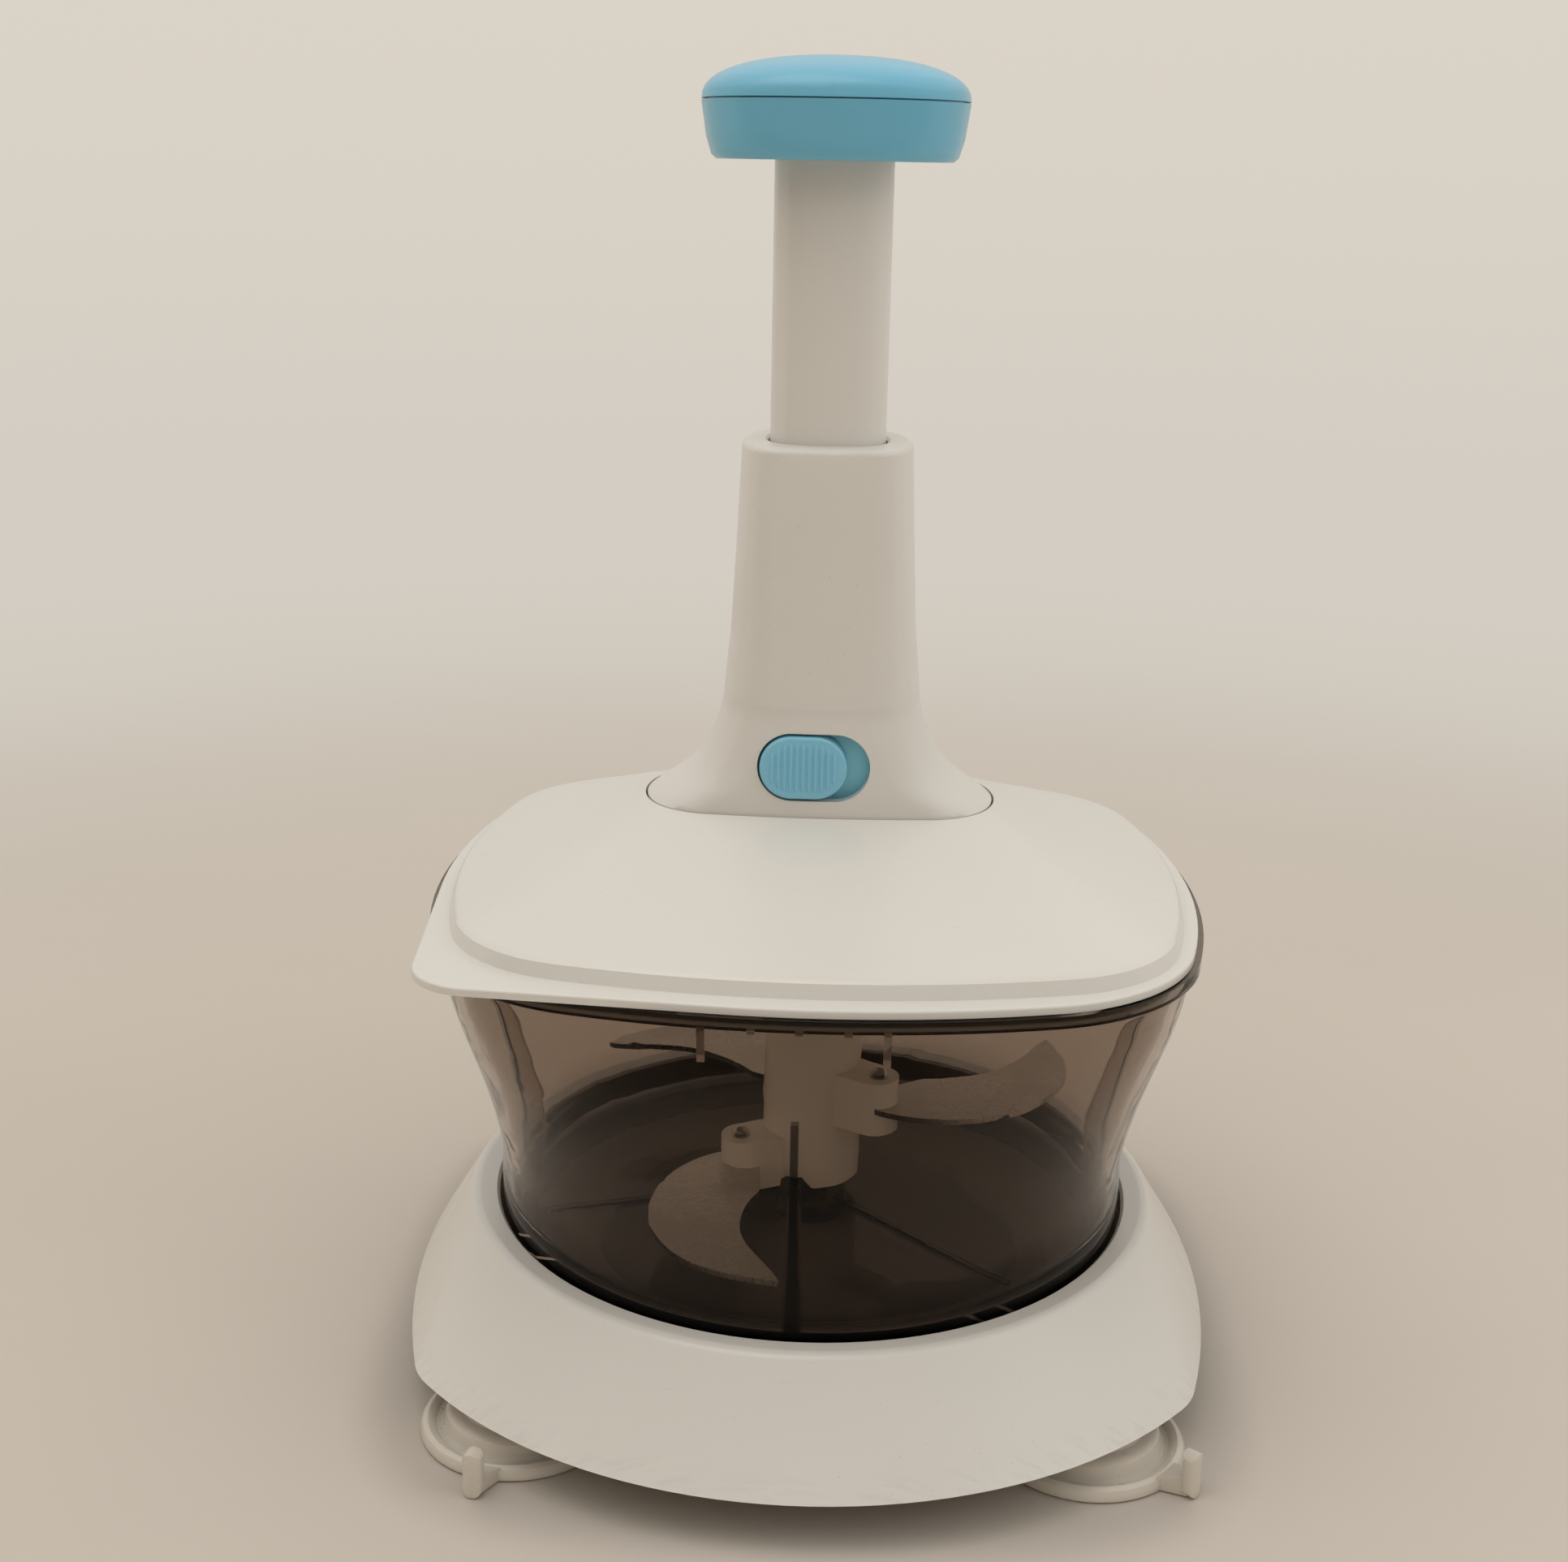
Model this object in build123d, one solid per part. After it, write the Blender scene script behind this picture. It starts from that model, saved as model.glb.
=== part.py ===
from build123d import *
from math import cos, radians, sin
import os

# Plunger food chopper. Millimetres, +Z up, origin on the table under the middle
# of the base, front towards -Y. Every piece below is one STEP file.

os.makedirs("parts", exist_ok=True)

# ---------------------------------------------------------------- driving sizes
# base
BASE_HALF = (83.25, 88.45)           # foot outline, half width and half depth
BASE_CORNER_R = 17.0
BASE_TURNS = (16, 50)               # how far the side arcs turn, degrees
SKIRT_Z = 9.5                       # lower edge of the skirt
CREST_R, CREST_Z = 72.2, 29.8       # round ridge on top of the base
SOCKET_R = 66.1                     # round socket that takes the bowl
BASE_WALL = 2.4
FLOOR_Z = (12.5, 15.0)              # base floor, lower and upper face
FLOOR_HOLE_R = 45.0

# suction cups
CUP_XY = (55.2, 52.0)
CUP_R = 19.0
CUP_NECK_R = 2.9
CUP_TABS = {                        # azimuth of each pull tab
    "front_left": -102,
    "front_right": -40,
    "rear_left": 140,
    "rear_right": 78,
}

# bowl
BOWL_FOOT_Z = 15.2
BOWL_FOOT_R = (62.5, 65.4)
BOWL_FLOOR_Z = (24.6, 27.0)
BOWL_WALL = 2.2
BOWL_TURN = -2.0                    # the ribs stand two degrees off the front
BOWL_SECTIONS = [                   # height, half width, half depth, corner radius
    (36.0, 65.4, 65.4, 65.4),
    (46.0, 66.0, 65.6, 64.5),
    (55.0, 67.9, 66.0, 61.5),
    (68.0, 71.2, 66.9, 54.0),
    (80.0, 74.2, 67.8, 46.0),
    (87.0, 75.3, 68.3, 41.5),
    (92.5, 75.8, 68.6, 38.0),
]
RIM_Z = (92.5, 94.8)
RIM = (77.4, 70.3, 40.0)
PIN_R = 3.0
PIN_Z = (22.0, 58.0)
PIN_BOSS_R, PIN_BOSS_H = 7.5, 3.8    # boss for the pin, above and below the floor

# blades
HUB_R = 10.2
HUB_Z = (31.5, 83.9)
ARM_REACH = 15.5
ARM_R = 5.0
RIVET_AT = 16.5
BLADE_T = 1.2
BLADES = {                          # azimuth, blade height, lower and upper arm face
    "low": (207, 36.0, 31.2, 42.0),
    "mid": (87, 43.5, 38.0, 49.0),
    "high": (-33, 51.0, 45.5, 57.0),
}

# lid
LID_Z = 95.0
LID_EDGE = (76.2, 69.3, 38.0)
LID_EDGE_T = 1.6
DOME_FOOT = (73.2, 64.9, 30.0)
DOME_SHOULDER = (71.0, 62.5, 28.4)
DOME_CREASE = (44.8, 30.5, 18.0)     # where the slope of the dome changes
SHOULDER_Z, CREASE_Z, DOME_TOP_Z = 100.2, 111.05, 115.0
LID_RING = (71.3, 63.6, 34.5)        # wall that stands on the lid plate
LID_WALL = 2.0
TOWER_FOOT = (35.3, 17.6, 14.1)
TAB_CENTRE = (-61.0, -52.2)
TAB_R = 12.0
PLATE_Z = (91.8, 94.0)
PLATE = (71.2, 64.0, 34.0)
LID_SCREW_XY = (50.0, 42.0)
TOWER_SCREW_X = 27.0
SCREW_R, LID_POST_R = 1.5, 3.4
BOSS_R, BOSS_Z = 10.4, (86.0, 96.0)
JOURNAL_R = 4.0
BUSH_R = 6.5
SCREW_HEAD = (3.0, 1.1)              # radius and height
RUNNING_FIT = 0.05

# tower
TOWER_TURNS = (20, 6)
TOWER_WALL = 2.3
TOWER_TOP_Z = 186.6
TOWER_FLANGE_Z = (109.6, 112.0)
TOWER_SECTIONS = [
    (115.0, 34.85, 17.15, 13.65),
    (117.0, 32.2, 17.2, 13.5),
    (119.4, 28.7, 17.3, 13.2),
    (122.0, 25.7, 17.3, 12.8),
    (125.5, 23.1, 17.3, 12.2),
    (130.0, 21.1, 17.2, 11.5),
    (137.0, 19.5, 17.1, 10.3),
    (150.0, 18.3, 16.9, 8.6),
    (165.0, 17.5, 16.6, 7.4),
    (185.2, 16.6, 16.4, 7.0),
]
FLARE_ROWS = 7                      # the first rows form the curved flare
BORE_HALF, BORE_CORNER = 13.8, 8.0
BORE_Z = 150.0
SLEEVE_Z = (154.4, 182.5)

# plunger
STROKE = 50.0
TUBE_HALF, TUBE_CORNER, TUBE_WALL = 11.2, 8.0, 1.8
TUBE_COLLAR, COLLAR_H = 12.8, 3.0    # collar that stops the tube under the sleeve
TUBE_Z = (151.0, 246.0)
TUBE_END_Z = 243.0                  # underside of the closed upper end
NUT_Z = (151.2, 159.0)
NUT_PIN_Z = 156.5
KNOB_Z = (238.0, 248.0, 256.5)      # lower edge, parting line, top
KNOB_HALF = 24.9

# twisted spindle
SPINDLE_SQUARE = 7.6
SPINDLE_LEAD = 28.0                 # travel for one turn of the blades
SPINDLE_Z = (101.5, 160.5)
NUT_PLAY = 0.25
HEX_AF, HEX_PLAY = 9.5, 0.25
DOG_Z = (74.0, 84.2, 85.7)
SEAT_Z = (160.5, 163.0, 166.0)

# spring
WIRE_R = 0.55
COIL_R = 6.6
COILS = 15

# slide switch
SWITCH_Z = 125.1
SWITCH_TRAVEL = 4.2
SLOT = (22.0, 13.5)
SLOT_X = -1.1
PAD = (17.0, 12.4)
PAD_X = -3.1
PAD_Y = -17.9
SHUTTER_X = (-16.8, 11.4)
SHUTTER_Y = (-13.0, -11.9)
SHUTTER_H = 16.4
SHUTTER_PLAY = 0.25
TONGUE_X = (-5.5, -1.5)
TONGUE_Z = (122.0, 126.0)
TONGUE_TIP_Y = -10.3


# ---------------------------------------------------------------------- helpers
def plan_face(z, half_x, half_y, corner, turns=(14, 14)):
    """Rounded rectangle of eight tangent arcs at height z. With half_x, half_y
    and corner all the same it is a circle."""
    tx, ty = radians(turns[0]), radians(turns[1])
    m11, m12 = 1 - cos(tx), sin(ty)
    m21, m22 = sin(tx), 1 - cos(ty)
    k1 = half_x - corner * cos(tx) + corner * sin(ty)
    k2 = half_y - corner * cos(ty) + corner * sin(tx)
    det = m11 * m22 - m12 * m21
    side_x = (k1 * m22 - m12 * k2) / det
    side_y = (m11 * k2 - m21 * k1) / det
    cx, cy = (side_y - corner) * sin(ty), (side_x - corner) * sin(tx)
    ax, ay = turns
    arcs = [
        (half_x - side_x, 0, side_x, -ax, ax),
        (cx, cy, corner, ax, 90 - ay),
        (0, half_y - side_y, side_y, 90 - ay, 90 + ay),
        (-cx, cy, corner, 90 + ay, 180 - ax),
        (side_x - half_x, 0, side_x, 180 - ax, 180 + ax),
        (-cx, -cy, corner, 180 + ax, 270 - ay),
        (0, side_y - half_y, side_y, 270 - ay, 270 + ay),
        (cx, -cy, corner, 270 + ay, 360 - ax),
    ]
    edges = [Edge.make_circle(r, Plane((x, y, z)), a, b) for x, y, r, a, b in arcs]
    return Face(Wire(edges))


def plan_loft(sections, turns=(14, 14), ruled=True):
    """Solid through plan faces; a section may carry its own turns at the end."""
    faces = [plan_face(*s) if len(s) == 5 else plan_face(*s, turns) for s in sections]
    return loft(faces, ruled=ruled)


def plan_prism(z0, z1, half_x, half_y, corner, turns=(14, 14)):
    """Straight solid with a rounded rectangle as its plan."""
    return extrude(plan_face(z0, half_x, half_y, corner, turns), z1 - z0)


def shrunk(sections, wall):
    """The same sections, moved in by one wall."""
    return [(z, a - wall, b - wall, r - wall) for z, a, b, r in sections]


def inset(plan, distance):
    """Plan sizes moved in by a distance."""
    return tuple(v - distance for v in plan)


def between(plan, other, part):
    """Plan sizes part of the way from one plan to another."""
    return tuple(a + (b - a) * part for a, b in zip(plan, other))


def turned(points):
    """Solid of revolution about Z from an (r, z) outline."""
    return revolve(make_face(Plane.XZ * Polyline(*points, close=True)), Axis.Z)


def rod(radius, z0, z1, x=0, y=0):
    """Upright cylinder."""
    return Pos(x, y, (z0 + z1) / 2) * Cylinder(radius, z1 - z0)


def block(x, y, z):
    """Box from three pairs of limits."""
    size = [b - a for a, b in (x, y, z)]
    middle = [(a + b) / 2 for a, b in (x, y, z)]
    return Pos(*middle) * Box(*size)


def hexagon(across_flats, z0, z1):
    """Upright hexagonal bar."""
    return Pos(0, 0, z0) * extrude(RegularPolygon(across_flats / 2, 6, major_radius=False), z1 - z0)


def screw(x, y, z_head, head_r, head_h, shank_r, z_tip):
    """Screw driven upwards, with a cross recess in its head."""
    body = rod(head_r, z_head, z_head + head_h, x, y) + rod(shank_r, z_head + head_h, z_tip, x, y)
    arm, half, depth = 0.65 * head_r, 0.16 * head_r, 0.5 * head_h
    for dx, dy in ((arm, half), (half, arm)):
        body -= block((x - dx, x + dx), (y - dy, y + dy), (z_head, z_head + depth))
    return body


def save(node, shape):
    """Write one piece, or one group of equal pieces, as parts/NODE.step."""
    export_step(shape, f"parts/{node}.step")


# ------------------------------------------------------------------------- base
def make_base():
    foot = (*BASE_HALF, BASE_CORNER_R)
    crest = (CREST_R,) * 3
    crest_low = CREST_Z - 1.0
    rounding = [(CREST_Z - dz, *(CREST_R - dr,) * 3) for dz, dr in ((0.5, 0.45), (0.15, 1.1), (0, 1.9))]
    shell = plan_loft([
        (SKIRT_Z, *inset(foot, 0.7)),
        (SKIRT_Z + 0.35, *inset(foot, 0.25)),
        (SKIRT_Z + 0.9, *between(foot, crest, 0.9 / (crest_low - SKIRT_Z))),
        (crest_low, *crest),
        *rounding,
    ], BASE_TURNS)
    shell -= plan_loft([
        (SKIRT_Z - 0.01, *inset(foot, BASE_WALL)),
        (CREST_Z - BASE_WALL, *inset(crest, BASE_WALL)),
    ], BASE_TURNS)
    # socket wall with its flat lip, and the floor that carries the bowl
    lip_r, lip_z = CREST_R - 2.2, CREST_Z - 0.4
    shell += turned([
        (SOCKET_R, FLOOR_Z[0]),
        (SOCKET_R + BASE_WALL, FLOOR_Z[0]),
        (SOCKET_R + BASE_WALL, CREST_Z - BASE_WALL - 0.2),
        (lip_r, CREST_Z - BASE_WALL - 0.2),
        (lip_r, CREST_Z - 0.1),
        (SOCKET_R + 0.6, lip_z),
        (SOCKET_R, lip_z - 0.6),
    ])
    shell -= turned([
        (0, FLOOR_Z[1]),
        (SOCKET_R, FLOOR_Z[1]),
        (SOCKET_R, lip_z - 0.6),
        (SOCKET_R + 0.6, lip_z),
        (lip_r, CREST_Z + 0.02),
        (lip_r, CREST_Z + 2),
        (0, CREST_Z + 2),
    ])
    shell += rod(SOCKET_R + 0.5, *FLOOR_Z)
    # a pad in each corner carries the neck of a suction cup
    envelope = plan_loft([(SKIRT_Z, *inset(foot, 1.2)), (CREST_Z - 1.0, *inset(crest, 1.2))], BASE_TURNS)
    pads = [
        Pos(sx * CUP_XY[0], sy * CUP_XY[1], sum(FLOOR_Z) / 2) * Box(44, 44, FLOOR_Z[1] - FLOOR_Z[0])
        for sx in (-1, 1) for sy in (-1, 1)
    ]
    for pad in pads:
        shell += (pad & envelope) - rod(SOCKET_R, 0, CREST_Z)
    for sx in (-1, 1):
        for sy in (-1, 1):
            shell -= rod(CUP_NECK_R, *FLOOR_Z, sx * CUP_XY[0], sy * CUP_XY[1])
    shell -= rod(FLOOR_HOLE_R, *FLOOR_Z)
    save("base_shell", shell)


def make_cup(name, azimuth):
    """Soft cup with stepped rings, a barbed neck and an upright pull tab."""
    neck_z = FLOOR_Z
    cup = turned([
        (CUP_R - 2.4, 0),
        (CUP_R - 0.6, 0),
        (CUP_R, 0.5),
        (CUP_R, 1.6),
        (CUP_R - 0.5, 2.5),
        (CUP_R - 1.4, 2.9),
        (CUP_R - 2.4, 2.6),
        (CUP_R - 3.1, 1.9),
        (CUP_R - 3.9, 1.9),
        (CUP_R - 4.5, 2.5),
        (CUP_R - 5.1, 4.5),
        (CUP_R - 5.8, 5.1),
        (CUP_R - 7.9, 5.5),
        (CUP_R - 8.9, 6.7),
        (CUP_R - 9.6, 8.4),
        (7.6, 9.2),
        (7.0, neck_z[0]),
        (CUP_NECK_R, neck_z[0]),
        (CUP_NECK_R, neck_z[1]),
        (4.2, neck_z[1]),
        (3.0, neck_z[1] + 1.4),
        (0, neck_z[1] + 1.4),
        (0, 6.6),
        (6.0, 5.4),
        (11.5, 2.6),
    ])
    # the finger of the tab is rounded in plan and at both ends
    tab_at, tab_w, tab_z = 23.4, 4.0, (0.3, 9.4)
    height = tab_z[1] - tab_z[0]
    plan = Pos(tab_at, 0, tab_z[0]) * RectangleRounded(2.9, tab_w, 1.35)
    front = Pos(tab_at - 3, 0, sum(tab_z) / 2) * Rot(0, 90, 0) * SlotOverall(height, tab_w)
    finger = extrude(plan, height) & extrude(front, 6)
    root = CUP_R - 1.9
    web_plan = Polyline((root, -3.6), (root, 3.6), (tab_at, 1.2), (tab_at, -1.2), close=True)
    web_side = Polyline((root, 0.4), (tab_at, 0.4), (tab_at, 4.8), (CUP_R, 3.2), (root, 2.4), close=True)
    web = extrude(make_face(web_plan), 6) & extrude(make_face(Plane.XZ * web_side), 5, both=True)
    cup += Rot(0, 0, azimuth) * (finger + web)
    side = -1 if name.endswith("left") else 1
    depth = -1 if name.startswith("front") else 1
    save(f"suction_cup_{name}", Pos(side * CUP_XY[0], depth * CUP_XY[1], 0) * cup)


# ------------------------------------------------------------------------- bowl
def bowl_outer():
    """Outside of the bowl without its rim."""
    foot_r = BOWL_FOOT_R[1]
    lower = rod(foot_r, BOWL_FOOT_Z, BOWL_SECTIONS[0][0])
    return lower + plan_loft(BOWL_SECTIONS, ruled=False)


def bowl_rib(outer, azimuth):
    """Upright wedge on the wall: thick at the floor, thin and set back at the top."""
    wall_r = 76.0
    rows = [(26.0, 58.4, 3.9), (45.0, 58.9, 3.1), (67.5, 66.0, 2.1), (69.5, 68.6, 2.0)]
    faces = [
        Pos((inner + wall_r) / 2, 0, z) * Rectangle(wall_r - inner, thick) for z, inner, thick in rows
    ]
    return (Rot(0, 0, azimuth) * loft(faces, ruled=True)) & outer


def rim_gusset(x, drop, thick=1.4):
    """Small fin under the rim on the outside of the wall."""
    wall, lip, z = RIM[1] - 2.4, RIM[1] - 0.3, RIM_Z[0]
    outline = Polyline((-wall, z), (-lip, z), (-lip, z - 0.6), (-wall, z - drop), close=True)
    return Pos(x - thick / 2, 0, 0) * extrude(make_face(Plane.YZ * outline), thick)


def make_bowl():
    outer = bowl_outer()
    body = outer + plan_loft([(RIM_Z[0], *RIM), (RIM_Z[1], *RIM)])
    floor, inside_r, round_r = BOWL_FLOOR_Z[1], BOWL_FOOT_R[1] - BOWL_WALL, 7.0
    start = BOWL_SECTIONS[0][0]
    corner = inside_r - round_r
    profile = (
        Line((0, floor), (corner, floor))
        + RadiusArc((corner, floor), (inside_r, floor + round_r), -round_r)
        + Line((inside_r, floor + round_r), (inside_r, start))
        + Line((inside_r, start), (0, start))
        + Line((0, start), (0, floor))
    )
    body -= revolve(make_face(Plane.XZ * profile), Axis.Z)
    body -= plan_loft(shrunk(BOWL_SECTIONS, BOWL_WALL), ruled=False)
    mouth = shrunk([BOWL_SECTIONS[-1]], BOWL_WALL)[0][1:]
    body -= plan_prism(RIM_Z[0], RIM_Z[1] + 1, *mouth)
    body -= rod(BOWL_FOOT_R[0], BOWL_FOOT_Z, BOWL_FLOOR_Z[0])
    for quarter in range(4):
        body += bowl_rib(outer, BOWL_TURN + 90 * quarter)
    body += rod(PIN_BOSS_R, BOWL_FLOOR_Z[0] - PIN_BOSS_H, BOWL_FLOOR_Z[1] + PIN_BOSS_H)
    body -= rod(PIN_R, PIN_Z[0], BOWL_FLOOR_Z[1] + 4)
    for azimuth in (75, 195, 315):
        low_rib = block((7, corner), (-0.6, 0.6), (floor - 0.1, floor + 0.8))
        body += Rot(0, 0, azimuth) * low_rib
    for turn in (0, 180):
        for x, drop in ((-16.4, 7.0), (16.4, 7.0), (-7.6, 1.5), (0.9, 1.5), (9.5, 1.5)):
            body += Rot(0, 0, turn) * rim_gusset(x - 2.7, drop)
    save("bowl", body)
    pin = rod(PIN_R, PIN_Z[0], PIN_Z[1] - 1) + rod(PIN_R - 0.7, PIN_Z[1] - 1, PIN_Z[1])
    save("blade_pin", pin)


# ------------------------------------------------------------------------ rotor
def blade_solid(z):
    """Flat swept-back blade for an arm along +X."""
    start, tip, heel = (18.5, -4.2), (30.2, 48.6), (18.6, 14.6)
    outer = Spline(start, (29.7, -1.2), (42.2, 12.8), (44.7, 26), (42.7, 35.3), (37.4, 42.5), tip)
    inner = Spline(tip, (30, 39.1), (29.7, 30.7), (26.6, 23.1), heel)
    root = Polyline(heel, (14, 4.2), (11.6, 4.2), (11.6, -4.2), start)
    return Pos(0, 0, z - BLADE_T / 2) * extrude(make_face(outer + inner + root), BLADE_T)


def rivet(z0, z1):
    """Blade rivet with a domed upper head."""
    head = (Pos(RIVET_AT, 0, z1) * Sphere(2.0)) & rod(2.1, z1, z1 + 2.1, RIVET_AT)
    return head + rod(1.25, z0, z1, RIVET_AT)


def make_rotor():
    hub = rod(HUB_R, *HUB_Z)
    rivets = []
    for name, (azimuth, blade_z, z0, z1) in BLADES.items():
        arm = block((0, ARM_REACH), (-ARM_R, ARM_R), (z0, z1)) + rod(ARM_R, z0, z1, ARM_REACH)
        blade = blade_solid(blade_z)
        pin = rivet(z0, z1)
        hub += Rot(0, 0, azimuth) * arm
        hub -= Rot(0, 0, azimuth) * blade
        hub -= Rot(0, 0, azimuth) * pin
        save(f"blade_{name}", Rot(0, 0, azimuth) * (blade - pin))
        rivets.append(Rot(0, 0, azimuth) * pin)
    for azimuth in (0, 120, 240):
        x, y = 9.5 * cos(radians(azimuth)), 9.5 * sin(radians(azimuth))
        hub += rod(1.0, HUB_Z[0] - 0.6, HUB_Z[0] + 1, x, y) & rod(HUB_R, 0, HUB_Z[1])
    hub -= rod(PIN_R + RUNNING_FIT, HUB_Z[0] - 1, PIN_Z[1] + 2)
    hub -= hexagon(HEX_AF + 2 * HEX_PLAY, DOG_Z[0] - 0.8, HUB_Z[1] + 1)
    save("blade_hub", hub)
    save("blade_rivets", Compound(rivets))


# -------------------------------------------------------------------------- lid
def lid_outer():
    """Outside of the lid: flat edge with its lifting corner, shoulder and dome."""
    corner = Pos(*TAB_CENTRE) * Circle(TAB_R)
    plan = make_hull(plan_face(0, *LID_EDGE).edges() + corner.edges())
    edge = Pos(0, 0, LID_Z) * extrude(plan, LID_EDGE_T)
    edge = fillet(edge.edges().group_by(Axis.Z)[-1], 0.5)
    z_edge = LID_Z + LID_EDGE_T
    return edge + plan_loft([
        (z_edge - 0.3, *inset(DOME_FOOT, -0.6)),
        (z_edge, *inset(DOME_FOOT, -0.6)),
        (z_edge + 0.15, *inset(DOME_FOOT, -0.2)),
        (z_edge + 0.6, *DOME_FOOT),
        (SHOULDER_Z - 0.8, *inset(DOME_FOOT, 0.75)),
        (SHOULDER_Z - 0.3, *inset(DOME_SHOULDER, -0.9)),
        (SHOULDER_Z, *DOME_SHOULDER),
        (CREASE_Z, *DOME_CREASE, (18, 9)),
        (DOME_TOP_Z - 0.2, *inset(TOWER_FOOT, -0.6), TOWER_TURNS),
        (DOME_TOP_Z, *inset(TOWER_FOOT, -0.15), TOWER_TURNS),
    ])


def make_lid_cover():
    outer = lid_outer()
    room = inset(LID_RING, LID_WALL)
    cover = outer + plan_prism(PLATE_Z[1], LID_Z + 0.2, *LID_RING)
    cover -= plan_loft([
        (PLATE_Z[1] - 0.01, *room),
        (SHOULDER_Z - LID_WALL, *room),
        (DOME_TOP_Z - LID_WALL, *TOWER_FOOT, TOWER_TURNS),
    ])
    cover -= plan_prism(SHOULDER_Z, DOME_TOP_Z + 1, *TOWER_FOOT, TOWER_TURNS)
    for sx in (-1, 1):
        for sy in (-1, 1):
            x, y = sx * LID_SCREW_XY[0], sy * LID_SCREW_XY[1]
            post = rod(LID_POST_R, PLATE_Z[1], DOME_TOP_Z, x, y)
            cover += post & outer.moved(Pos(0, 0, -0.5)) + rod(LID_POST_R, PLATE_Z[1], LID_Z + 1, x, y)
            cover -= rod(SCREW_R, PLATE_Z[1], PLATE_Z[1] + 5.2, x, y)
    save("lid_cover", cover)


def make_lid_plate():
    plate = plan_prism(PLATE_Z[0] - 1.6, PLATE_Z[1], *PLATE)
    plate += plan_prism(PLATE_Z[1] - 0.6, PLATE_Z[1], *inset(PLATE, -1.5))
    plate -= plan_prism(PLATE_Z[0] - 2.6, PLATE_Z[0], *inset(PLATE, 2.0))
    plate += rod(BOSS_R, *BOSS_Z)
    screws = []
    for sx in (-1, 1):
        for sy in (-1, 1):
            x, y = sx * LID_SCREW_XY[0], sy * LID_SCREW_XY[1]
            plate -= rod(3.2, PLATE_Z[0], PLATE_Z[1] - 1, x, y) + rod(1.7, PLATE_Z[0], PLATE_Z[1], x, y)
            screws.append(screw(x, y, PLATE_Z[0] + 0.1, *SCREW_HEAD, SCREW_R, PLATE_Z[1] + 5))
    long_screws = []
    for x in (-TOWER_SCREW_X, TOWER_SCREW_X):
        plate += rod(4.0, PLATE_Z[1] - 0.1, TOWER_FLANGE_Z[0], x)
        plate -= rod(3.2, PLATE_Z[0], PLATE_Z[1] - 1, x) + rod(1.7, PLATE_Z[0], TOWER_FLANGE_Z[0], x)
        tip = TOWER_FLANGE_Z[0] + 5.5
        long_screws.append(screw(x, 0, PLATE_Z[0] + 0.1, *SCREW_HEAD, SCREW_R, tip))
    plate -= rod(BUSH_R, BOSS_Z[0], BOSS_Z[1])
    save("lid_plate", plate)
    save("lid_screws", Compound(screws))
    save("tower_screws", Compound(long_screws))
    bush = rod(BUSH_R, BOSS_Z[0] + 0.2, BOSS_Z[1]) + rod(BUSH_R + 2, BOSS_Z[1], BOSS_Z[1] + 1.7)
    save("spindle_bush", bush - rod(JOURNAL_R + RUNNING_FIT, BOSS_Z[0], BOSS_Z[1] + 2))
    seal_z = (PLATE_Z[0] - 1.2, PLATE_Z[1] - 0.7)
    middle = sum(seal_z) / 2
    seal = plan_loft([
        (seal_z[0], *inset(PLATE, -0.9)),
        (middle - 0.4, *inset(PLATE, -1.8)),
        (middle + 0.4, *inset(PLATE, -1.8)),
        (seal_z[1], *inset(PLATE, -0.9)),
    ])
    save("lid_seal", seal - plan_prism(*seal_z, *PLATE))


# ------------------------------------------------------------------------ tower
def tower_cavity():
    """Room inside the tower below the bore."""
    rows = shrunk(TOWER_SECTIONS[:8], TOWER_WALL)
    return plan_loft([(TOWER_FLANGE_Z[0] - 1, *rows[0][1:])] + rows, TOWER_TURNS)


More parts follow.
